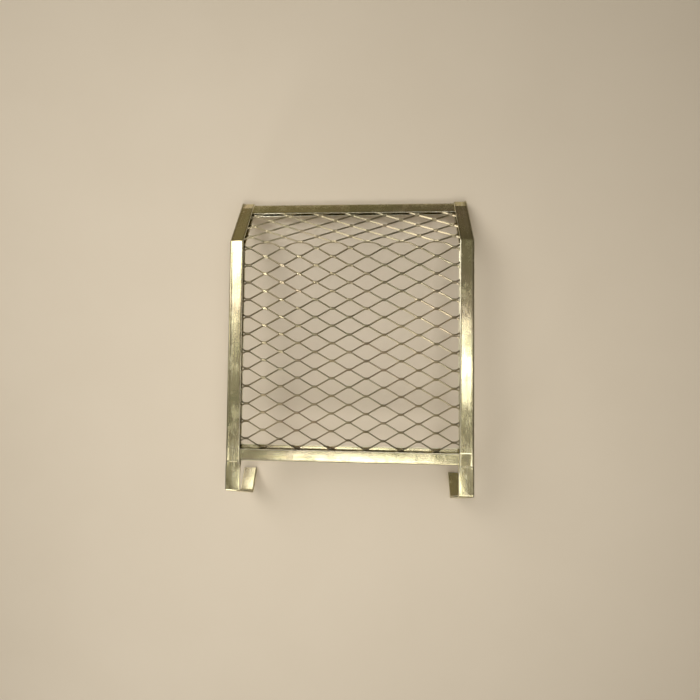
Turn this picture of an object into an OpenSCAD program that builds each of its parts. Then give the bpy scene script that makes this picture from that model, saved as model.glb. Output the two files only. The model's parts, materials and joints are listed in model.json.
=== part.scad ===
// Paint roller grid: an expanded-metal screen held in a frame of folded sheet steel.
// It lies face up, as set down on a bench: on the tips of its two hooks and on the
// back of its bent end. +X is across the frame, +Y runs from the hooks to the bent end.

/* [Frame] */
// Overall width across the two side rails
frame_w = 241.3; // [180:0.1:300]
// Length of the flat face, from the bend line to the outside of the hook bends
face_len = 247.5; // [200:0.5:320]
// Length of the bent end, from the bend line to the ends of the side rails
bent_len = 63.4; // [50:0.1:90]
// Angle by which the bent end leans back from the face
bent_angle = 35.5; // [15:0.5:45]
// Thickness of the frame's sheet steel
sheet_t = 0.8; // [0.6:0.05:1]

/* [Side rails] */
// Width of each side rail's front and rear flanges
side_w = 13.9; // [11:0.1:20]
// Depth of each side rail, front to back
side_d = 8; // [7:0.1:10]
// Outside radius of the side rails' folds
side_fold_r = 2; // [1.5:0.1:3]
// Width of the hem folded in along each flange's free edge
hem_w = 3; // [2:0.1:5]

/* [Cross rails] */
// Distance from the bend line to the bottom rail's lower edge
bottom_rail_y = 218.1; // [180:0.1:225]
// Height of the bottom rail's front flange
bottom_front_h = 11.6; // [8:0.1:16]
// Height of the bottom rail's rear flange
bottom_rear_h = 15.8; // [8:0.1:20]
// Distance from the bend line to the top rail's upper edge
top_rail_s = 62.1; // [45:0.1:62.5]
// Height of the top rail's flanges
top_h = 14.3; // [8:0.1:18]
// Outside radius of the cross rails' folds
cross_fold_r = 1.5; // [1:0.1:2.2]

/* [Hooks] */
// Width of the flattened hook strip
hook_w = 14.8; // [12:0.1:20]
// Thickness of the hook strip, which is both flanges pressed together
hook_t = 2; // [1.6:0.1:3]
// Length over which the side rail is pressed down to the hook strip
flatten_len = 8; // [5:0.5:12]
// Inside radius of the hook's front bend
front_bend_r = 1.5; // [1:0.1:4]
// Angle of the hook's front bend
front_bend_angle = 72; // [60:1:90]
// Straight length of the hook across the bucket's rim
saddle_len = 46; // [25:0.5:55]
// Inside radius of the hook's rear bend
rear_bend_r = 2; // [1:0.1:4]
// Angle of the hook's rear bend
rear_bend_angle = 77; // [60:1:90]
// Straight length of the hook's return leg
leg_len = 24; // [15:0.5:30]

/* [Mesh] */
// Long way of one mesh diamond, across the frame
diamond_w = 33.98; // [28:0.02:34.1]
// Short way of one mesh diamond, along the frame
diamond_h = 17.26; // [12:0.02:20]
// Number of diamonds across the sheet
diamonds_across = 7; // [5:1:7]
// Length of the joined strands where two diamonds meet
bond_len = 4.4; // [3:0.1:7]
// Width of a strand, measured along the frame
strand_w = 1.7; // [1:0.1:2.5]
// Thickness of the mesh sheet
mesh_t = 1.6; // [1:0.1:2]
// Distance of the first row of bonds above the bend line
mesh_phase = 1.9; // [0:0.1:4]
// Gap left between the mesh sheet's ends and the folds of the cross rails
mesh_gap = 1; // [0.5:0.1:2]

/* [Hidden] */
$fn = 48;
steel = [0.74, 0.70, 0.54];
mesh_steel = [0.58, 0.54, 0.42];
overrun = 20;
bend_steps = 10;
strip_lap = 0.5;
half_w = frame_w / 2;
half_bend = bent_angle / 2;
hem_t = 2 * sheet_t;
cross_d = side_d - 2 * hem_t;
cross_len = frame_w - 2 * sheet_t - 0.6;
mesh_front = hem_t + sheet_t;
half_diamond_w = diamond_w / 2;
half_diamond_h = diamond_h / 2;
mesh_w = diamonds_across * diamond_w;
mesh_down = bottom_rail_y - sheet_t - mesh_gap;
mesh_up = top_rail_s - sheet_t - mesh_gap;
rows_down = ceil(mesh_down / half_diamond_h) + 1;
rows_up = ceil(mesh_up / half_diamond_h) + 1;
lean = cos(half_bend);
cut_depth = mesh_down;

// The hook's outer surface, followed from the start of the flat strip: how far down the
// face and how far behind it each point lies.
front_r = front_bend_r + hook_t;
rear_r = rear_bend_r + hook_t;
leg_heading = front_bend_angle + rear_bend_angle;
flat_start = bottom_rail_y + flatten_len;
drop_len = face_len - front_r * tan(front_bend_angle / 2) - flat_start;
bend_1_centre = [flat_start + drop_len, front_r];
saddle_start = bend_1_centre + front_r * [sin(front_bend_angle), -cos(front_bend_angle)];
saddle_end = saddle_start + saddle_len * [cos(front_bend_angle), sin(front_bend_angle)];
bend_2_centre = saddle_end + rear_r * [-sin(front_bend_angle), cos(front_bend_angle)];
leg_start = bend_2_centre + rear_r * [sin(leg_heading), -cos(leg_heading)];
hook_tip = leg_start + leg_len * [cos(leg_heading), sin(leg_heading)];

// The corners of the bent end, given the same way, as distances down and behind.
bent_front_corner = bent_len * [-cos(bent_angle), sin(bent_angle)];
bent_rear_corner = bent_front_corner + side_d * [sin(bent_angle), cos(bent_angle)];

// The part rests on its hook tips and on the bent end's rear corner, so the face
// slopes down a little towards the bend line.
lie_angle = -atan((hook_tip.y - bent_rear_corner.y) / (hook_tip.x - bent_rear_corner.x));
function lie_y(p) = -p.x * cos(lie_angle) + p.y * sin(lie_angle);
function lie_z(p) = -p.x * sin(lie_angle) - p.y * cos(lie_angle);
front_limit = lie_y(bend_2_centre) - rear_r;
back_limit = lie_y(bent_front_corner);

// Moves a piece from the face's own frame to the way the part lies.
module lying() {
    translate([0, -(front_limit + back_limit) / 2, -lie_z(hook_tip)])
        rotate([lie_angle, 0, 0])
            children();
}

// Moves a piece to the plane of the bent end.
module on_bent_end() {
    rotate([-bent_angle, 0, 0])
        children();
}

// A quarter of a fold's ring, open towards +X and -Y.
module fold_quarter(r) {
    intersection() {
        difference() {
            circle(r);
            circle(r - sheet_t);
        }
        translate([-r, 0])
            square([r, r]);
    }
}

// Section of a folded channel: its web stands at x = 0, and its front flange at y = 0.
module channel_section(front_w, rear_w, depth, r) {
    translate([r, -sheet_t])
        square([front_w - r, sheet_t]);
    translate([r, -depth])
        square([rear_w - r, sheet_t]);
    translate([0, r - depth])
        square([sheet_t, depth - 2 * r]);
    translate([r, -r])
        fold_quarter(r);
    translate([r, r - depth])
        mirror([0, 1])
            fold_quarter(r);
}

// Extrudes a side view across the frame: its x runs down the face, its y behind it.
module across(width) {
    rotate([90, 0, 90])
        linear_extrude(width)
            rotate(180)
                children();
}

// A line that follows the bent end and the face at one depth behind their front.
function depth_line(depth, reach_up, reach_down) = [
    reach_up * [-cos(bent_angle), sin(bent_angle)] + depth * [sin(bent_angle), cos(bent_angle)],
    [depth * tan(half_bend), depth],
    [reach_down, depth]
];
function reversed(points) = [for (i = [len(points) - 1:-1:0]) points[i]];

// The side rail's outside, seen from the side, down to where it is pressed flat.
module side_outline() {
    polygon(concat(
        depth_line(0, bent_len, flat_start),
        [[flat_start, hook_t]],
        reversed(depth_line(side_d, bent_len, bottom_rail_y))
    ));
}

// The hollow of the side rail, between skins of the given thickness.
module side_hollow(skin) {
    polygon(concat(
        depth_line(skin, bent_len + overrun, flat_start - strip_lap),
        [[flat_start - strip_lap, max(skin, hook_t - sheet_t) + strip_lap]],
        reversed(depth_line(side_d - skin, bent_len + overrun, bottom_rail_y))
    ));
}

// What the fold takes off the front outer edge of a side rail.
module fold_cutter(length) {
    rotate([90, 0, 0])
        linear_extrude(length)
            difference() {
                translate([-overrun, -side_fold_r])
                    square([overrun + side_fold_r, overrun + side_fold_r]);
                translate([side_fold_r, -side_fold_r])
                    circle(side_fold_r);
            }
}

// The side rail's channel along the face and the bent end, with a hem on both flanges.
module side_channel() {
    difference() {
        across(side_w)
            side_outline();
        translate([sheet_t, 0, 0])
            across(side_w)
                side_hollow(hem_t);
        translate([sheet_t, 0, 0])
            across(side_w - sheet_t - hem_w)
                side_hollow(sheet_t);
        translate([0, overrun, 0])
            fold_cutter(overrun + bottom_rail_y);
        on_bent_end()
            translate([0, bent_len + overrun, 0])
                fold_cutter(bent_len + 2 * overrun);
    }
}

// Points along one bend of the hook strip, at the given distance from its centre.
function bend_points(centre, r, low, high) = [
    for (i = [0:bend_steps])
        let (angle = low + (high - low) * i / bend_steps)
            centre + r * [sin(angle), -cos(angle)]
];

// The hook: down the face, across the rim and back up behind.
module hook_strip() {
    tip_inside = hook_tip + hook_t * [-sin(leg_heading), cos(leg_heading)];
    across(hook_w)
        polygon(concat(
            [[flat_start - strip_lap, 0]],
            bend_points(bend_1_centre, front_r, 0, front_bend_angle),
            bend_points(bend_2_centre, rear_r, front_bend_angle, leg_heading),
            [hook_tip, tip_inside],
            bend_points(bend_2_centre, rear_bend_r, leg_heading, front_bend_angle),
            bend_points(bend_1_centre, front_bend_r, front_bend_angle, 0),
            [[flat_start - strip_lap, hook_t]]
        ));
}

// A side rail with its hook, with its outer face at x = 0 and its opening towards +X.
module side_rail() {
    side_channel();
    hook_strip();
}

module left_side_rail() {
    color(steel)
        lying()
            translate([-half_w, 0, 0])
                side_rail();
}

module right_side_rail() {
    color(steel)
        lying()
            mirror([1, 0, 0])
                translate([-half_w, 0, 0])
                    side_rail();
}

// The top rail's channel opens down towards the mesh.
module top_rail() {
    color(steel)
        lying()
            on_bent_end()
                translate([-cross_len / 2, top_rail_s, -hem_t])
                    across(cross_len)
                        mirror([0, 1])
                            channel_section(top_h, top_h, cross_d, cross_fold_r);
}

// The bottom rail's channel opens up towards the mesh, and its rear flange is taller.
module bottom_rail() {
    color(steel)
        lying()
            translate([-cross_len / 2, -bottom_rail_y, -hem_t])
                rotate([90, 0, 90])
                    linear_extrude(cross_len)
                        channel_section(bottom_front_h, bottom_rear_h, cross_d, cross_fold_r);
}

// One opening of the mesh, between the bonds at its sides.
module diamond() {
    tip_x = half_diamond_w - bond_len / 2;
    side_y = (half_diamond_h - strand_w) * lean;
    polygon([
        [-tip_x, 0],
        [-bond_len / 2, side_y],
        [bond_len / 2, side_y],
        [tip_x, 0],
        [bond_len / 2, -side_y],
        [-bond_len / 2, -side_y]
    ]);
}

// Every opening of the mesh, in the plane that they are cut square to.
module diamonds() {
    for (row = [-rows_down:rows_up], col = [-diamonds_across:diamonds_across])
        if ((row + col) % 2 == 0)
            translate([col * half_diamond_w, (mesh_phase + row * half_diamond_h) * lean])
                diamond();
}

// The mesh is one sheet, bent with the frame and held between the rails' flanges. Its
// openings are cut square to the plane that halves the bend, so they lean alike in both
// its flat stretches, and are foreshortened to suit.
module mesh_screen() {
    color(mesh_steel)
        lying()
            difference() {
                translate([-mesh_w / 2, 0, 0])
                    across(mesh_w)
                        polygon(concat(
                            depth_line(mesh_front, mesh_up, mesh_down),
                            reversed(depth_line(mesh_front + mesh_t, mesh_up, mesh_down))
                        ));
                rotate([-half_bend, 0, 0])
                    translate([0, 0, -cut_depth])
                        linear_extrude(2 * cut_depth)
                            diamonds();
            }
}

mesh_screen();
left_side_rail();
right_side_rail();
top_rail();
bottom_rail();
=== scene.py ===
import json
import math

import bmesh
import bpy
from mathutils import Matrix, Vector, noise


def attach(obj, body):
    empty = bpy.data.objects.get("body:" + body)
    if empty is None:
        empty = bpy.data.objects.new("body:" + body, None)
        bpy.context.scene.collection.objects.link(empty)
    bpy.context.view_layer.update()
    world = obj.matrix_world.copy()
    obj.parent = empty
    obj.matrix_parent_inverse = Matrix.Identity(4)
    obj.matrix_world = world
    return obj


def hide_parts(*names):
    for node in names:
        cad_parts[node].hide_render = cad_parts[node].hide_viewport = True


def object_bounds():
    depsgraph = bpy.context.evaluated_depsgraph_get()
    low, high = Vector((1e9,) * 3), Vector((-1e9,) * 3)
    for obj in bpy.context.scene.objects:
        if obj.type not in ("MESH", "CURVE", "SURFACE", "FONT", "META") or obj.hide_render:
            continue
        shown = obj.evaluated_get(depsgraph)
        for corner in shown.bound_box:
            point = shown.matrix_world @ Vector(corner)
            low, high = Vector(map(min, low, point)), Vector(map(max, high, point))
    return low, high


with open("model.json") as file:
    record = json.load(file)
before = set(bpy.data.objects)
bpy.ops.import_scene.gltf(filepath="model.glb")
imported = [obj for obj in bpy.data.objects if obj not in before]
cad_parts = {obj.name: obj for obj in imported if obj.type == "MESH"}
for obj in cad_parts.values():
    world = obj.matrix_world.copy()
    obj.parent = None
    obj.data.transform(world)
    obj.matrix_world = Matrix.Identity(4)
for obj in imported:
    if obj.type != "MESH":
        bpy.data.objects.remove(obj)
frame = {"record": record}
cad_low, cad_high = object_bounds()


# ---------------------------------------------------------------------------
# Side rails. Each is one strip of zinc-coated sheet steel, folded into a channel
# with a hem along both free edges. It is bent back once near the top, pressed flat
# below the bottom rail, and bent twice more into a hook for a bucket's rim.
# ---------------------------------------------------------------------------
MM = 0.001

# The face's own directions: across, down the face from the bend line, and behind it.
# The back rests in the record lie 100 mm below the bend line, on the rear flanges.
BACK_REST_DOWN = 100
SIDE_DEPTH = 8
back_rest = next(m for m in frame["record"]["mounts"] if m["name"] == "left_back_rest")
behind_way = Vector(back_rest["axis"])
down_way = Vector((0, behind_way.z, -behind_way.y))
bend_line = (
    Vector((0, back_rest["pos_m"][1], back_rest["pos_m"][2]))
    - down_way * BACK_REST_DOWN * MM
    - behind_way * SIDE_DEPTH * MM
)

FRAME_WIDTH = (cad_high.x - cad_low.x) / MM
HALF_WIDTH = FRAME_WIDTH / 2
BENT_ANGLE = math.radians(35.5)
HALF_BEND = BENT_ANGLE / 2
BENT_LENGTH = 63.4
SIDE_WIDTH = 13.9
SIDE_FOLD = 2.0
SHEET = 0.75
HEM_WIDTH = 3.0
HEM_GAP = 0.1
CREASE_RADIUS = 1.4
BOTTOM_RAIL_DOWN = 218.1
BOTTOM_RAIL_TOP = 206.5
PRESSED_LENGTH = 8.0
FACE_LENGTH = 247.5
HOOK_WIDTH = 14.8
HOOK_THICKNESS = 2.0
FRONT_BEND = math.radians(72)
FRONT_BEND_RADIUS = 1.5 + HOOK_THICKNESS
SADDLE_LENGTH = 46.0
REAR_BEND = math.radians(77)
REAR_BEND_RADIUS = 2.0 + HOOK_THICKNESS
LEG_LENGTH = 24.0


def in_row(across, down, behind):
    """A point given in millimetres on the face's own axes, in the row's frame."""
    point = bend_line + down_way * down * MM + behind_way * behind * MM
    point.x = across * MM
    return point


def bent(along, depth, radius):
    """(down, behind) of a point that far along the sheet from the bend line, negative
    towards the bent end, and that deep behind its front, with a rounded crease."""
    tangent = radius * math.tan(HALF_BEND)
    if abs(along) >= tangent or depth >= radius:
        reach = max(abs(along), depth * math.tan(HALF_BEND))
        if along > 0:
            return reach, depth
        return (
            -reach * math.cos(BENT_ANGLE) + depth * math.sin(BENT_ANGLE),
            reach * math.sin(BENT_ANGLE) + depth * math.cos(BENT_ANGLE),
        )
    turn = HALF_BEND - HALF_BEND * along / tangent
    return (
        tangent - (radius - depth) * math.sin(turn),
        radius - (radius - depth) * math.cos(turn),
    )


flat_start = BOTTOM_RAIL_DOWN + PRESSED_LENGTH
drop_length = FACE_LENGTH - FRONT_BEND_RADIUS * math.tan(FRONT_BEND / 2) - flat_start
front_bend_start = flat_start + drop_length
saddle_start = front_bend_start + FRONT_BEND_RADIUS * FRONT_BEND
saddle_end = saddle_start + SADDLE_LENGTH
leg_start = saddle_end + REAR_BEND_RADIUS * REAR_BEND
leg_end = leg_start + LEG_LENGTH


def turned(start, heading, radius, angle):
    """Where a bend of that radius and angle leads, from a (down, behind) point, and the
    heading after it."""
    centre = (start[0] - radius * math.sin(heading), start[1] + radius * math.cos(heading))
    heading += angle
    end = (centre[0] + radius * math.sin(heading), centre[1] - radius * math.cos(heading))
    return end, heading


def straight(start, heading, length):
    """Where a straight run of that length leads, from a (down, behind) point."""
    return (start[0] + length * math.cos(heading), start[1] + length * math.sin(heading))


def side_path(along):
    """(point, heading) of the rail's front surface that far along the strip."""
    point, heading = (min(along, front_bend_start), 0.0), 0.0
    if along > front_bend_start:
        angle = min(1.0, (along - front_bend_start) / (saddle_start - front_bend_start))
        point, heading = turned(point, heading, FRONT_BEND_RADIUS, FRONT_BEND * angle)
    if along > saddle_start:
        point = straight(point, heading, min(along, saddle_end) - saddle_start)
    if along > saddle_end:
        angle = min(1.0, (along - saddle_end) / (leg_start - saddle_end))
        point, heading = turned(point, heading, REAR_BEND_RADIUS, REAR_BEND * angle)
    if along > leg_start:
        point = straight(point, heading, along - leg_start)
    return point, heading


def on_side_rail(across, along, depth):
    """A point of a side rail, from its place across, along and through the strip."""
    if along < front_bend_start:
        down, behind = bent(along, depth, CREASE_RADIUS)
    else:
        (down, behind), heading = side_path(along)
        down -= depth * math.sin(heading)
        behind += depth * math.cos(heading)
    return down, behind


def arc(centre_x, centre_y, radius, start, end, steps):
    """Points along an arc, from start to end in degrees."""
    points = []
    for i in range(steps + 1):
        angle = math.radians(start + (end - start) * i / steps)
        points.append((centre_x + radius * math.cos(angle), centre_y + radius * math.sin(angle)))
    return points


def stretch(x0, y0, x1, y1, steps):
    """Points along a straight line, without its two ends."""
    return [
        (x0 + (x1 - x0) * i / steps, y0 + (y1 - y0) * i / steps) for i in range(1, steps)
    ]


# The sheet dips a little beside each fold, and the steps are how many short faces make
# up each fold, nose, flat, hem and web.
DIP_WIDTH = 0.9
DIP_DEPTH = 0.1
FOLD_STEPS = 6
NOSE_STEPS = 6
FLAT_STEPS = 8
HEM_STEPS = 3
SIDE_WEB_STEPS = 4


def flange(free_end, fold, depth):
    """Points over a flange from its free end to its fold, without those two, and closer
    together in the dip beside the fold."""
    dip_end = fold + DIP_WIDTH
    points = stretch(free_end, depth, dip_end, depth, FLAT_STEPS)
    points += [(dip_end, depth), (fold + DIP_WIDTH / 2, depth)]
    return points


def channel_profile(width, depth):
    """The hemmed channel's section as one loop of (across, depth) points. The outer skin
    runs from the front hem round to the rear hem, and the inner skin runs back."""
    nose = SHEET + HEM_GAP / 2
    pinch = HEM_GAP / 2
    nose_x = width - nose
    hem_x = width - HEM_WIDTH
    far = depth - nose
    back = depth - SHEET
    inner_fold = SIDE_FOLD - SHEET
    front_hem = 2 * nose
    rear_hem = depth - 2 * nose
    outer = [(hem_x, front_hem)]
    outer += stretch(hem_x, front_hem, nose_x, front_hem, HEM_STEPS)
    outer += arc(nose_x, nose, nose, 90, -90, NOSE_STEPS)
    outer += flange(nose_x, SIDE_FOLD, 0)
    outer += arc(SIDE_FOLD, SIDE_FOLD, SIDE_FOLD, -90, -180, FOLD_STEPS)
    outer += stretch(0, SIDE_FOLD, 0, depth - SIDE_FOLD, SIDE_WEB_STEPS)
    outer += arc(SIDE_FOLD, depth - SIDE_FOLD, SIDE_FOLD, 180, 90, FOLD_STEPS)
    outer += flange(nose_x, SIDE_FOLD, depth)[::-1]
    outer += arc(nose_x, far, nose, 90, -90, NOSE_STEPS)
    outer += stretch(nose_x, rear_hem, hem_x, rear_hem, HEM_STEPS)
    outer += [(hem_x, rear_hem)]
    inner = [(hem_x, rear_hem + SHEET)]
    inner += stretch(hem_x, rear_hem + SHEET, nose_x, rear_hem + SHEET, HEM_STEPS)
    inner += arc(nose_x, far, pinch, -90, 90, NOSE_STEPS)
    inner += flange(nose_x, SIDE_FOLD, back)
    inner += arc(SIDE_FOLD, depth - SIDE_FOLD, inner_fold, 90, 180, FOLD_STEPS)
    inner += stretch(SHEET, depth - SIDE_FOLD, SHEET, SIDE_FOLD, SIDE_WEB_STEPS)
    inner += arc(SIDE_FOLD, SIDE_FOLD, inner_fold, 180, 270, FOLD_STEPS)
    inner += flange(nose_x, SIDE_FOLD, SHEET)[::-1]
    inner += arc(nose_x, nose, pinch, -90, 90, NOSE_STEPS)
    inner += stretch(nose_x, front_hem - SHEET, hem_x, front_hem - SHEET, HEM_STEPS)
    inner += [(hem_x, front_hem - SHEET)]
    return outer + inner


STRIP_LIP = 0.25
STRIP_TRIM = 0.3


def cut_edge(lip_x, middle):
    """Points round one layer's cut edge, from its rear corner to its front one."""
    points = []
    for i in range(NOSE_STEPS + 1):
        angle = math.pi * i / NOSE_STEPS
        points.append((lip_x + STRIP_LIP * math.sin(angle), middle + SHEET / 2 * math.cos(angle)))
    return points


def strip_profile(width, thickness):
    """The same loop pressed flat: two layers joined by a round fold, hems trimmed off."""
    lip_x = width - STRIP_LIP
    trim_x = lip_x - STRIP_TRIM
    fold = thickness / 2
    back = thickness - SHEET
    gap = thickness / 2 - SHEET
    web = [(0, fold)] * (SIDE_WEB_STEPS - 1)
    inner_web = [(fold - gap, fold)] * (SIDE_WEB_STEPS - 1)
    outer = [(trim_x, SHEET)]
    outer += stretch(trim_x, SHEET, lip_x, SHEET, HEM_STEPS)
    outer += cut_edge(lip_x, SHEET / 2)
    outer += flange(lip_x, fold, 0)
    outer += arc(fold, fold, fold, -90, -180, FOLD_STEPS)
    outer += web
    outer += arc(fold, fold, fold, 180, 90, FOLD_STEPS)
    outer += flange(lip_x, fold, thickness)[::-1]
    outer += cut_edge(lip_x, thickness - SHEET / 2)
    outer += stretch(lip_x, back, trim_x, back, HEM_STEPS)
    outer += [(trim_x, back)]
    inner = [(trim_x, back)] * (HEM_STEPS + NOSE_STEPS + 1)
    inner += flange(trim_x, fold, back)
    inner += arc(fold, fold, gap, 90, 180, FOLD_STEPS)
    inner += inner_web
    inner += arc(fold, fold, gap, 180, 270, FOLD_STEPS)
    inner += flange(trim_x, fold, SHEET)[::-1]
    inner += [(trim_x, SHEET)] * (HEM_STEPS + NOSE_STEPS + 1)
    return outer + inner


def smooth_step(low, high, value):
    """0 below low, 1 above high, and a smooth ramp between them."""
    share = min(1.0, max(0.0, (value - low) / (high - low)))
    return share * share * (3 - 2 * share)


# How far the front flange is pressed in, and over what lengths it eases in and out.
CRIMP_DEPTH = 0.3
CRIMP_RAMP = 1.2
PRESS_FROM = 0.5
PRESS_FULL = SIDE_FOLD + 1.5
DIP_EASE = 0.1
CORNER_PRESS_FROM = 54.4
CORNER_PRESS_DEPTH = 1.1
SHEET_WAVE = 0.035
WAVE_ACROSS = 9
WAVE_ALONG = 34
STRIP_CROWN = 0.22


def pressed_in(across, along, depth, seed):
    """How far the front flange is pushed in: in the dip beside its fold, where it is
    crimped over the bottom rail, where it is set down over the top rail's end, towards
    both edges of the crowned hook strip, and by slight waves in the sheet."""
    strip = smooth_step(BOTTOM_RAIL_DOWN, flat_start, along)
    crown = STRIP_CROWN * strip * (2 * across / HOOK_WIDTH - 1) ** 2
    if depth > SIDE_DEPTH / 2 or along > flat_start:
        return crown * smooth_step(flat_start, front_bend_start, along)
    reach = smooth_step(PRESS_FROM, PRESS_FULL, across)
    dip = DIP_DEPTH * smooth_step(SIDE_FOLD - DIP_EASE, SIDE_FOLD + DIP_WIDTH, across)
    crimp = smooth_step(BOTTOM_RAIL_TOP - CRIMP_RAMP, BOTTOM_RAIL_TOP, along)
    crimp *= 1 - smooth_step(BOTTOM_RAIL_DOWN, BOTTOM_RAIL_DOWN + CRIMP_RAMP, along)
    push = CRIMP_DEPTH * crimp
    set_down = max(0.0, -along - CORNER_PRESS_FROM) / (BENT_LENGTH - CORNER_PRESS_FROM)
    push += CORNER_PRESS_DEPTH * set_down
    wave = noise.noise(Vector((across / WAVE_ACROSS, along / WAVE_ALONG, seed)))
    return dip * (1 - strip) + reach * (push + SHEET_WAVE * (1 + wave) * (1 - strip))


# The side rail's sections: where each close run starts or ends, and how many steps.
BENT_STATIONS_TO = -6.4
BENT_STATIONS = 19
PRESS_STATION = 0.25
NEAR_CREASE = 3.0
FACE_STATIONS_FROM = 8.0
FACE_STATIONS_TO = 200.0
FACE_STATIONS = 48
CRIMP_STATIONS_FROM = 203.0
CRIMP_STATIONS_TO = 226.6
CRIMP_STATIONS = 59
STATION_APART = 0.02


def evenly(first, last, steps):
    """Places from first to last, in equal steps."""
    return {first + (last - first) * i / steps for i in range(steps + 1)}


def side_stations():
    """Places along the strip for one section each: close together where it bends."""
    crease = CREASE_RADIUS * math.tan(HALF_BEND)
    places = evenly(-BENT_LENGTH, BENT_STATIONS_TO, BENT_STATIONS)
    places |= {-CORNER_PRESS_FROM - PRESS_STATION, -CORNER_PRESS_FROM + PRESS_STATION}
    places |= evenly(-NEAR_CREASE, -1.0, 2)
    places |= evenly(-crease, crease, 8)
    places |= evenly(1.0, NEAR_CREASE, 2)
    places |= evenly(FACE_STATIONS_FROM, FACE_STATIONS_TO, FACE_STATIONS)
    places |= evenly(CRIMP_STATIONS_FROM, CRIMP_STATIONS_TO, CRIMP_STATIONS)
    places |= evenly(flat_start, front_bend_start, 6)
    places |= evenly(front_bend_start, saddle_start, 10)
    places |= evenly(saddle_start, saddle_end, 12)
    places |= evenly(saddle_end, leg_start, 12)
    places |= evenly(leg_start, leg_end, 6)
    kept = []
    for place in sorted(places):
        if not kept or place - kept[-1] > STATION_APART:
            kept.append(place)
    return kept


TINY = 1e-7


def turn_at(before, point, after):
    """How sharply a line of points turns there, in radians."""
    way_in, way_out = point - before, after - point
    if way_in.length < TINY or way_out.length < TINY:
        return 0.0
    return way_in.angle(way_out)


NOSE_TURN = math.radians(28)


def bend_there(rings, i, j):
    """How tightly the sheet is bent at a point: 0 on a flat, half on a fold, 1 on the
    nose of a hem."""
    ring = rings[i]
    round_turn = turn_at(ring[j - 1], ring[j], ring[(j + 1) % len(ring)])
    along_turn = 0.0
    if 0 < i < len(rings) - 1:
        along_turn = turn_at(rings[i - 1][j], ring[j], rings[i + 1][j])
    return min(1.0, max(round_turn, along_turn) / NOSE_TURN)


def add_loft(made, rings, along, round_section, folded=True):
    """Skins a bmesh over equal rings of points and closes both ends. It keeps how
    tightly each point is bent, and a UV layer in millimetres: along the piece, and round
    its section."""
    grain = made.loops.layers.uv["grain"]
    bend = made.verts.layers.float["bend"]
    grid = []
    for i, ring in enumerate(rings):
        row = [made.verts.new(point) for point in ring]
        for j, vert in enumerate(row):
            vert[bend] = bend_there(rings, i, j) if folded else 0.0
        grid.append(row)
    count = len(rings[0])
    for i in range(len(rings) - 1):
        for j in range(count):
            k = (j + 1) % count
            face = made.faces.new((grid[i][j], grid[i][k], grid[i + 1][k], grid[i + 1][j]))
            corners = ((i, j), (i, j + 1), (i + 1, j + 1), (i + 1, j))
            for loop, (row, place) in zip(face.loops, corners):
                loop[grain].uv = (along[row], round_section[place])
    for row, verts in ((0, grid[0][::-1]), (-1, grid[-1])):
        face = made.faces.new(verts)
        for loop in face.loops:
            place = grid[row].index(loop.vert)
            loop[grain].uv = (along[row] + round_section[place], round_section[place])


def new_steel_mesh():
    """An empty bmesh with the two layers that the steel's material reads."""
    made = bmesh.new()
    made.loops.layers.uv.new("grain")
    made.verts.layers.float.new("bend")
    return made


SHARP_EDGE = math.radians(40)
DOUBLED = 1e-6


def link_piece(made, name):
    """Makes the object: doubled points merged, smooth faces, and its sharp edges marked."""
    bmesh.ops.remove_doubles(made, verts=made.verts, dist=DOUBLED)
    bmesh.ops.dissolve_degenerate(made, edges=made.edges, dist=TINY)
    bmesh.ops.recalc_face_normals(made, faces=made.faces)
    for face in made.faces:
        face.smooth = True
    for edge in made.edges:
        edge.smooth = len(edge.link_faces) == 2 and edge.calc_face_angle(0) < SHARP_EDGE
    mesh = bpy.data.meshes.new(name)
    made.to_mesh(mesh)
    made.free()
    piece = bpy.data.objects.new(name, mesh)
    bpy.context.collection.objects.link(piece)
    return piece


def round_lengths(section):
    """How far round its section each point lies, with the whole way round last."""
    lengths = [0.0]
    for i in range(len(section)):
        (x0, y0), (x1, y1) = section[i], section[(i + 1) % len(section)]
        lengths.append(lengths[-1] + math.hypot(x1 - x0, y1 - y0))
    return lengths


SAMPLE_APART = 500


def side_rail(name, side, seed):
    """side is -1 for the left rail and 1 for the right one. Each rail's grain is taken
    from its own part of the noise, that far from the last."""
    channel = channel_profile(SIDE_WIDTH, SIDE_DEPTH)
    strip = strip_profile(HOOK_WIDTH, HOOK_THICKNESS)
    places = side_stations()
    rings = []
    for along in places:
        press = smooth_step(BOTTOM_RAIL_DOWN, flat_start, along)
        ring = []
        for (x0, d0), (x1, d1) in zip(channel, strip):
            across = x0 + (x1 - x0) * press
            depth = d0 + (d1 - d0) * press
            depth += pressed_in(across, along, depth, seed)
            down, behind = on_side_rail(across, along, depth)
            ring.append(in_row(side * (HALF_WIDTH - across), down, behind))
        rings.append(ring)
    made = new_steel_mesh()
    round_section = [length + SAMPLE_APART * seed for length in round_lengths(channel)]
    add_loft(made, rings, places, round_section)
    return link_piece(made, name)


def node(tree, kind, inputs=None, **settings):
    """Adds a node. An input is either a value or another node's output."""
    made = tree.nodes.new(kind)
    for key, value in settings.items():
        setattr(made, key, value)
    for key, value in (inputs or {}).items():
        if isinstance(value, bpy.types.NodeSocket):
            tree.links.new(value, made.inputs[key])
        else:
            made.inputs[key].default_value = value
    return made


def blend_colours(tree, share, first, second):
    """The first colour where share is 0, and the second where it is 1."""
    mixed = node(tree, "ShaderNodeMix", {0: share, 6: first, 7: second}, data_type="RGBA")
    return mixed.outputs[2]


def spread(tree, value, low, high, out_low, out_high):
    """Maps a value's range low to high onto another range, held inside it."""
    inputs = {"Value": value, 1: low, 2: high, 3: out_low, 4: out_high}
    return node(tree, "ShaderNodeMapRange", inputs).outputs[0]


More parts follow.
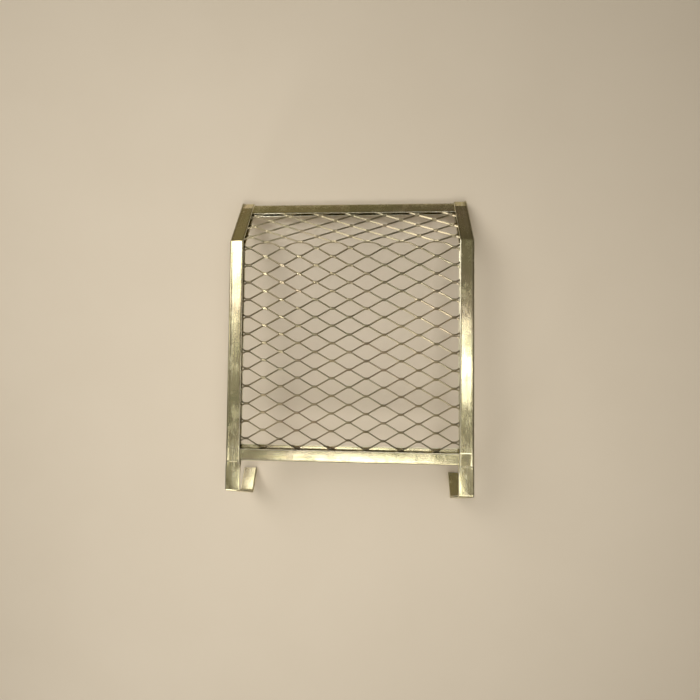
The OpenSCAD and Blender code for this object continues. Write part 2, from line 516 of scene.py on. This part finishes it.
def noise_on(tree, vector, scales, detail, seed=0.0):
    """Noise over a vector, with its own scale along each of the vector's directions."""
    scaled = node(
        tree,
        "ShaderNodeMapping",
        {"Vector": vector, "Location": (seed, seed, seed), "Scale": scales},
    )
    inputs = {"Vector": scaled.outputs[0], "Scale": 1.0, "Detail": detail}
    return node(tree, "ShaderNodeTexNoise", inputs).outputs["Fac"]


# Dark brown: the specks of dirt, and the painted shade on the folds.
DIRT_AND_FOLD_SHADE = (0.20, 0.17, 0.11, 1)


def zinc_steel(name, brass, olive, rose, bright, roughness, grain_bump):
    """Zinc-coated steel with a yellowish passivation: tinted patches, streaks along the
    rolling direction, dull smears, painted shade darkening the folds and a painted highlight
    along the noses of the hems. Noise over the grain is scaled per millimetre along and round
    the strip, and noise over the place per metre."""
    material = bpy.data.materials.new(name)
    material.use_nodes = True
    tree = material.node_tree
    shader = tree.nodes["Principled BSDF"]
    grain = node(tree, "ShaderNodeUVMap", uv_map="grain").outputs[0]
    place = node(tree, "ShaderNodeTexCoord").outputs["Object"]
    streaks = noise_on(tree, grain, (0.006, 1.1, 1), 4)
    fine_streaks = noise_on(tree, grain, (0.035, 5.5, 1), 3, seed=17)
    patches = noise_on(tree, place, (16, 22, 16), 2, seed=3)
    blush = noise_on(tree, place, (27, 19, 27), 2, seed=41)
    smears = noise_on(tree, place, (85, 60, 85), 5, seed=8)
    specks = noise_on(tree, place, (1400, 1400, 1400), 2, seed=5)
    bend = node(tree, "ShaderNodeAttribute", attribute_name="bend").outputs["Fac"]
    off_fold = node(tree, "ShaderNodeMath", {0: bend, 1: 0.5}, operation="SUBTRACT").outputs[0]
    off_fold = node(tree, "ShaderNodeMath", {0: off_fold}, operation="ABSOLUTE").outputs[0]
    # Painted shade: where the sheet turns round a fold, about half as tightly as on a hem's nose,
    # it is darkened as if in shadow.
    painted_fold_shade = spread(tree, off_fold, 0.05, 0.4, 1, 0)
    # Painted highlight: on the noses of the hems, the most tightly bent places, it is brightened
    # as if catching the light.
    painted_nose_highlight = spread(tree, bend, 0.65, 1, 0, 1)

    colour = blend_colours(tree, spread(tree, patches, 0.40, 0.62, 0, 1), brass, olive)
    colour = blend_colours(tree, spread(tree, blush, 0.52, 0.68, 0, 0.7), colour, rose)
    colour = blend_colours(tree, spread(tree, streaks, 0.35, 0.7, 0, 0.35), colour, bright)
    # Painted highlight on the noses of the hems.
    colour = blend_colours(tree, spread(tree, painted_nose_highlight, 0, 1, 0, 0.7), colour, bright)
    # Painted shade on the folds, then specks of dirt in the same dark brown.
    colour = blend_colours(tree, spread(tree, painted_fold_shade, 0, 1, 0, 0.6), colour, DIRT_AND_FOLD_SHADE)
    colour = blend_colours(tree, spread(tree, specks, 0.66, 0.74, 0, 0.35), colour, DIRT_AND_FOLD_SHADE)
    tree.links.new(colour, shader.inputs["Base Color"])

    rough = spread(tree, fine_streaks, 0.3, 0.7, roughness - 0.05, roughness + 0.07)
    dull = spread(tree, smears, 0.5, 0.7, 0, 0.12)
    rough = node(tree, "ShaderNodeMath", {0: rough, 1: dull}, operation="ADD").outputs[0]
    coarse = spread(tree, bend, 0.2, 1, 0, 0.14)
    rough = node(tree, "ShaderNodeMath", {0: rough, 1: coarse}, operation="ADD").outputs[0]
    tree.links.new(rough, shader.inputs["Roughness"])

    waves = noise_on(tree, place, (34, 26, 34), 1, seed=23)
    bump = node(tree, "ShaderNodeBump", {"Height": waves, "Strength": 0.5, "Distance": 0.0012})
    lines = node(
        tree,
        "ShaderNodeBump",
        {
            "Height": fine_streaks,
            "Strength": grain_bump,
            "Distance": 0.00006,
            "Normal": bump.outputs[0],
        },
    )
    tree.links.new(lines.outputs[0], shader.inputs["Normal"])
    tangent = node(tree, "ShaderNodeTangent", direction_type="UV_MAP", uv_map="grain")
    tree.links.new(tangent.outputs[0], shader.inputs["Tangent"])
    shader.inputs["Metallic"].default_value = 1.0
    shader.inputs["Anisotropic"].default_value = 0.3
    shader.inputs["Anisotropic Rotation"].default_value = 0.25
    return material


rail_steel = zinc_steel(
    "rail_steel",
    brass=(0.78, 0.70, 0.43, 1),
    olive=(0.61, 0.57, 0.31, 1),
    rose=(0.74, 0.60, 0.41, 1),
    bright=(0.88, 0.85, 0.73, 1),
    roughness=0.20,
    grain_bump=0.5,
)

for name, side, seed in (("left", -1, 1), ("right", 1, 2)):
    piece = side_rail(name + "_rail_steel", side, seed)
    piece.data.materials.append(rail_steel)
    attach(piece, "root")
    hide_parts(name + "_side_rail")


# ---------------------------------------------------------------------------
# Top and bottom rails. Each is a short channel folded from the same sheet, with plain
# cut edges. Its ends sit between the side rails' flanges, which are pressed over them.
# ---------------------------------------------------------------------------
CROSS_FOLD = 1.5
CROSS_FRONT = 2 * SHEET + HEM_GAP
CROSS_DEPTH = SIDE_DEPTH - 2 * CROSS_FRONT
CROSS_END_ROOM = 1.1
CROSS_LENGTH = FRAME_WIDTH - 2 * CROSS_END_ROOM
CUT_ROUND = 0.14
TOP_RAIL_UP = 62.1
TOP_FLANGE = 14.3
BOTTOM_FRONT_FLANGE = BOTTOM_RAIL_DOWN - BOTTOM_RAIL_TOP
BOTTOM_REAR_FLANGE = 15.8
CROSS_WEB_STEPS = 3


def cross_profile(front, rear):
    """A cross rail's section as one loop of (away from its web, depth) points."""
    inner_fold = CROSS_FOLD - SHEET
    back = CROSS_DEPTH - SHEET
    far = CROSS_DEPTH - CROSS_FOLD
    front_end, rear_end = front - CUT_ROUND, rear - CUT_ROUND
    points = [(front_end, 0)]
    points += stretch(front_end, 0, CROSS_FOLD, 0, FLAT_STEPS)
    points += arc(CROSS_FOLD, CROSS_FOLD, CROSS_FOLD, -90, -180, FOLD_STEPS)
    points += stretch(0, CROSS_FOLD, 0, far, CROSS_WEB_STEPS)
    points += arc(CROSS_FOLD, far, CROSS_FOLD, 180, 90, FOLD_STEPS)
    points += stretch(CROSS_FOLD, CROSS_DEPTH, rear_end, CROSS_DEPTH, FLAT_STEPS)
    points += [(rear_end, CROSS_DEPTH), (rear, CROSS_DEPTH - CUT_ROUND)]
    points += [(rear, back + CUT_ROUND), (rear_end, back)]
    points += stretch(rear_end, back, CROSS_FOLD, back, FLAT_STEPS)
    points += arc(CROSS_FOLD, far, inner_fold, 90, 180, FOLD_STEPS)
    points += stretch(SHEET, far, SHEET, CROSS_FOLD, CROSS_WEB_STEPS)
    points += arc(CROSS_FOLD, CROSS_FOLD, inner_fold, 180, 270, FOLD_STEPS)
    points += stretch(CROSS_FOLD, SHEET, front_end, SHEET, FLAT_STEPS)
    points += [(front_end, SHEET), (front, SHEET - CUT_ROUND), (front, CUT_ROUND)]
    return points


CROSS_STATION = 4.0
END_SQUEEZE = 16.0
EDGE_WAVE = 0.12
EDGE_WAVE_LENGTH = 46


def cross_rail(name, web_along, front, rear, crown, pinch, seed):
    """web_along is where its web lies along the side rails: on the bent end it is
    negative, and the channel opens the other way. Between the squeezed ends, crown is how
    far the middle of the front flange stands proud, and pinch is how far its free edge is
    squeezed in on the mesh."""
    way = 1 if web_along < 0 else -1
    section = cross_profile(front, rear)
    steps = round(CROSS_LENGTH / CROSS_STATION)
    places = [CROSS_LENGTH * (i / steps - 0.5) for i in range(steps + 1)]
    rings = []
    for across in places:
        free = smooth_step(0, END_SQUEEZE, CROSS_LENGTH / 2 - abs(across))
        ring = []
        for away, deep in section:
            if deep < CROSS_DEPTH / 2:
                share = away / front
                wave = noise.noise(Vector((across / EDGE_WAVE_LENGTH, seed, 0)))
                deep += free * share * (EDGE_WAVE * wave + pinch - 4 * crown * (1 - share))
            down, behind = bent(web_along + way * away, CROSS_FRONT + deep, CREASE_RADIUS)
            ring.append(in_row(across, down, behind))
        rings.append(ring)
    made = new_steel_mesh()
    round_section = [length + SAMPLE_APART * seed for length in round_lengths(section)]
    add_loft(made, rings, places, round_section)
    return link_piece(made, name)


top_rail = cross_rail(
    "top_rail_steel",
    web_along=-TOP_RAIL_UP,
    front=TOP_FLANGE,
    rear=TOP_FLANGE,
    crown=0.15,
    pinch=0.6,
    seed=3,
)
bottom_rail = cross_rail(
    "bottom_rail_steel",
    web_along=BOTTOM_RAIL_DOWN,
    front=BOTTOM_FRONT_FLANGE,
    rear=BOTTOM_REAR_FLANGE,
    crown=0.12,
    pinch=0.05,
    seed=4,
)
for piece, node_name in ((top_rail, "top_rail"), (bottom_rail, "bottom_rail")):
    piece.data.materials.append(rail_steel)
    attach(piece, "root")
    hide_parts(node_name)


# ---------------------------------------------------------------------------
# Mesh screen. Expanded metal: one sheet slit in staggered rows and pulled open, so that
# every strand is a narrow ribbon, tipped forward at its upper edge, and joined to the
# next row's strands by short bonds. It is bent with the frame and held by the flanges.
# ---------------------------------------------------------------------------
DIAMOND_WIDTH = 33.98
DIAMOND_HEIGHT = 17.26
ROW_STEP = DIAMOND_HEIGHT / 2
BOND_STEP = DIAMOND_WIDTH / 2
MESH_PHASE = 1.9
FIRST_ROW = -25
LAST_ROW = 6
BOND_LENGTH = 4.0
STRAND_WIDTH = 1.6
STRAND_THICKNESS = 0.8
STRAND_EDGE = 0.1
STRAND_TILT = math.radians(45)
BOND_LAP = 0.93
DIAMONDS_ACROSS = 7
MESH_HALF_WIDTH = DIAMONDS_ACROSS / 2 * DIAMOND_WIDTH
MESH_MIDDLE = 4.0
MESH_BEND_RADIUS = 8.0
CORNER_ROUND = 0.7


def ramp_share(offset):
    """0 on the lower bond and 1 on the upper one, for a strand climbing between them."""
    run = BOND_STEP - BOND_LENGTH
    return min(1.0, max(0.0, (offset - BOND_LENGTH / 2) / run))


def strand_share(across, row):
    """The same share anywhere along a row's strand, with the bends at its bonds rounded."""
    total = 0.0
    shifts = (-CORNER_ROUND, -CORNER_ROUND / 2, 0, CORNER_ROUND / 2, CORNER_ROUND)
    for shift in shifts:
        place = (across + shift) / BOND_STEP + row + 1
        cell = math.floor(place)
        offset = (place - cell) * BOND_STEP
        share = ramp_share(offset)
        total += share if cell % 2 == 0 else 1 - share
    return total / len(shifts)


ROW_WANDER = 0.22
WANDER_LENGTH = 21
ROW_APART = 5.3


def node_row(row, across):
    """How far up the face from the bend line a row of bonds lies, with a slight wander."""
    wander = noise.noise(Vector((across / WANDER_LENGTH, row * ROW_APART, 9)))
    return MESH_PHASE + row * ROW_STEP + ROW_WANDER * wander


width_way = Vector((0, math.cos(STRAND_TILT), math.sin(STRAND_TILT)))


def strand_middle(across, row):
    """(across, up, towards the front) of the middle of a row's strand."""
    share = strand_share(across, row)
    reach = BOND_LAP * STRAND_WIDTH / 2
    lower = Vector((across, node_row(row, across), 0)) + width_way * reach
    upper = Vector((across, node_row(row + 1, across), 0)) - width_way * reach
    return lower.lerp(upper, share)


def strand_section():
    """A strand's section as (over its width, through its thickness), corners eased."""
    wide, thick, ease = STRAND_WIDTH / 2, STRAND_THICKNESS / 2, STRAND_EDGE
    return (
        (wide, thick - ease),
        (wide - ease, thick),
        (ease - wide, thick),
        (-wide, thick - ease),
        (-wide, ease - thick),
        (ease - wide, -thick),
        (wide - ease, -thick),
        (wide, ease - thick),
    )


# A strand's sections lie this far to either side of each bond's middle.
BOND_STATIONS = (0.8, 1.5, 2.0, 2.5, 3.0, 3.6, 5.2, 7.2)
LAST_STATION_ROOM = 0.3


def strand_places():
    """Where a strand has its sections: close together where it bends at its bonds."""
    places = []
    last = round(MESH_HALF_WIDTH / BOND_STEP)
    for bond in range(-last, last + 1):
        places += [bond * BOND_STEP - offset for offset in BOND_STATIONS[::-1]]
        places += [bond * BOND_STEP + offset for offset in BOND_STATIONS]
    inside = [place for place in places if abs(place) < MESH_HALF_WIDTH - LAST_STATION_ROOM]
    return [-MESH_HALF_WIDTH] + inside + [MESH_HALF_WIDTH]


HEADING_STEP = 0.05


def strand_ring(across, row):
    """A row's strand's section, square to its run, at its place on the bent mesh."""
    middle = strand_middle(across, row)
    heading = strand_middle(across + HEADING_STEP, row) - strand_middle(across - HEADING_STEP, row)
    front_way = heading.cross(width_way).normalized()
    ring = []
    for wide, thick in strand_section():
        point = middle + width_way * wide + front_way * thick
        down, behind = bent(-point.y, MESH_MIDDLE - point.z, MESH_BEND_RADIUS)
        reach = max(-MESH_HALF_WIDTH, min(MESH_HALF_WIDTH, point.x))
        ring.append(in_row(reach, down, behind))
    return ring


ROW_SAMPLE_APART = 7


def mesh_screen():
    """Every row's strand, each lofted over its own length and all in one piece."""
    made = new_steel_mesh()
    places = strand_places()
    round_strand = round_lengths(strand_section())
    for row in range(FIRST_ROW, LAST_ROW):
        rings = [strand_ring(across, row) for across in places]
        round_section = [
            length + SAMPLE_APART + ROW_SAMPLE_APART * row for length in round_strand
        ]
        add_loft(made, rings, places, round_section, folded=False)
    return link_piece(made, "expanded_mesh")


mesh_steel = zinc_steel(
    "mesh_steel",
    brass=(0.42, 0.355, 0.225, 1),
    olive=(0.30, 0.27, 0.17, 1),
    rose=(0.37, 0.28, 0.20, 1),
    bright=(0.62, 0.57, 0.43, 1),
    roughness=0.30,
    grain_bump=0.7,
)
screen = mesh_screen()
screen.data.materials.append(mesh_steel)
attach(screen, "root")
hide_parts("mesh_screen")


# ---------------------------------------------------------------------------
# The table top that it lies on. A plain sheet of pale laminate with a faint mottle and a
# fine grit, bonded to a flat board.
# ---------------------------------------------------------------------------
TABLE_HALF = 12.0

mesh = bpy.data.meshes.new("table_top")
made = bmesh.new()
corners = ((-1, -1), (1, -1), (1, 1), (-1, 1))
made.faces.new([made.verts.new((x * TABLE_HALF, y * TABLE_HALF, 0)) for x, y in corners])
made.to_mesh(mesh)
made.free()
table_top = bpy.data.objects.new("table_top", mesh)
bpy.context.collection.objects.link(table_top)

laminate = bpy.data.materials.new("pale_laminate")
laminate.use_nodes = True
tree = laminate.node_tree
shader = tree.nodes["Principled BSDF"]
place = node(tree, "ShaderNodeTexCoord").outputs["Object"]
mottle = noise_on(tree, place, (9, 9, 9), 3, seed=2)
colour = blend_colours(tree, mottle, (0.72, 0.63, 0.51, 1), (0.76, 0.67, 0.55, 1))
tree.links.new(colour, shader.inputs["Base Color"])
grit = noise_on(tree, place, (900, 900, 900), 2, seed=6)
texture = node(tree, "ShaderNodeBump", {"Height": grit, "Strength": 0.2, "Distance": 0.0001})
tree.links.new(texture.outputs[0], shader.inputs["Normal"])
shader.inputs["Roughness"].default_value = 0.7
shader.inputs["Specular IOR Level"].default_value = 0.2
table_top.data.materials.append(laminate)


# ---------------------------------------------------------------------------
# Light and camera. Soft panels over the table stand for the room's window, lamps and
# walls, and a dark card for its far side. The camera looks down on the face.
# ---------------------------------------------------------------------------
PANEL_WHITE = (1.0, 0.98, 0.93)
PANEL_SPREAD = math.radians(85)


def panel(name, place, width, height, power, aim=(0, 0, 0)):
    """A soft rectangle of light, in metres and watts, facing the point that it is aimed at."""
    light = bpy.data.lights.new(name, "AREA")
    light.shape = "RECTANGLE"
    light.size, light.size_y = width, height
    light.energy = power
    light.color = PANEL_WHITE
    light.spread = PANEL_SPREAD
    lamp = bpy.data.objects.new(name, light)
    lamp.location = place
    lamp.rotation_euler = (Vector(aim) - Vector(place)).to_track_quat("-Z", "Y").to_euler()
    lamp.visible_camera = False
    bpy.context.collection.objects.link(lamp)


panel("left_window", (-0.86, 0.60, 1.00), 0.98, 0.90, 2.55)
panel("left_wall", (-0.80, 0.08, 1.00), 0.42, 0.30, 0.13)
panel("window_pane", (-0.47, 0.47, 1.05), 0.19, 0.16, 0.145)
panel("right_panel", (0.41, 0.075, 1.20), 0.18, 0.34, 0.245)
panel("near_panel", (-0.045, -0.355, 1.20), 0.48, 0.16, 0.29)
panel("front_fill", (0.1, -0.95, 1.10), 0.9, 0.45, 1.6)
panel("low_glint", (-0.55, -1.10, 0.30), 0.20, 0.16, 0.6, aim=(-0.1, 0, 0.04))


CARD_HEIGHT = 0.11


def dark_card(name, left, right, colour_left, colour_right):
    """A card that stands behind the bent end for the steel to mirror, as the far side of
    a dim room would be. Nothing else sees it."""
    (x0, y0), (x1, y1) = left, right
    made = bmesh.new()
    shade = made.verts.layers.float_color.new("shade")
    for place, colour in (
        ((x0, y0, 0), colour_left),
        ((x1, y1, 0), colour_right),
        ((x1, y1, CARD_HEIGHT), colour_right),
        ((x0, y0, CARD_HEIGHT), colour_left),
    ):
        made.verts.new(place)[shade] = (*colour, 1)
    made.faces.new(made.verts)
    mesh = bpy.data.meshes.new(name)
    made.to_mesh(mesh)
    made.free()
    card = bpy.data.objects.new(name, mesh)
    bpy.context.collection.objects.link(card)
    material = bpy.data.materials.new(name)
    material.use_nodes = True
    tree = material.node_tree
    shown = node(tree, "ShaderNodeAttribute", attribute_name="shade").outputs["Color"]
    glow = node(tree, "ShaderNodeEmission", {"Color": shown, "Strength": 1.0})
    tree.links.new(glow.outputs[0], tree.nodes["Material Output"].inputs["Surface"])
    card.data.materials.append(material)
    card.visible_camera = False
    card.visible_diffuse = False
    card.visible_shadow = False


dark_card(
    "far_card",
    left=(-0.40, 0.19),
    right=(0.40, 0.19),
    colour_left=(0.29, 0.25, 0.13),
    colour_right=(0.022, 0.014, 0.034),
)

ROOM_LOW = (0.086, 0.078, 0.064, 1)
ROOM_HIGH = (0.153, 0.135, 0.097, 1)

world = bpy.data.worlds.new("room")
world.use_nodes = True
tree = world.node_tree
toward = node(tree, "ShaderNodeTexCoord").outputs["Generated"]
height = node(tree, "ShaderNodeSeparateXYZ", {0: toward}).outputs["Z"]
room = blend_colours(tree, spread(tree, height, 0.05, 0.75, 0, 1), ROOM_LOW, ROOM_HIGH)
tree.links.new(room, tree.nodes["Background"].inputs["Color"])
bpy.context.scene.world = world

# The camera's place and the point that it looks at, in millimetres on the face's axes.
EYE = (26.6, 121.9, -417.7)
LOOKED_AT = (1.0, 108.3, 0.0)
CAMERA_ROLL = math.radians(0.62)
camera_data = bpy.data.cameras.new("camera")
camera_data.lens = 22.1
camera_data.sensor_width = 36
camera_data.clip_start = 0.01
camera = bpy.data.objects.new("camera", camera_data)
bpy.context.collection.objects.link(camera)
eye = in_row(*EYE)
look = (in_row(*LOOKED_AT) - eye).normalized()
right = look.cross(-down_way).normalized()
up = right.cross(look)
right, up = (
    right * math.cos(CAMERA_ROLL) + up * math.sin(CAMERA_ROLL),
    up * math.cos(CAMERA_ROLL) - right * math.sin(CAMERA_ROLL),
)
camera.matrix_world = Matrix.Translation(eye) @ Matrix((right, up, -look)).transposed().to_4x4()
bpy.context.scene.camera = camera
bpy.context.scene.view_settings.view_transform = "Standard"
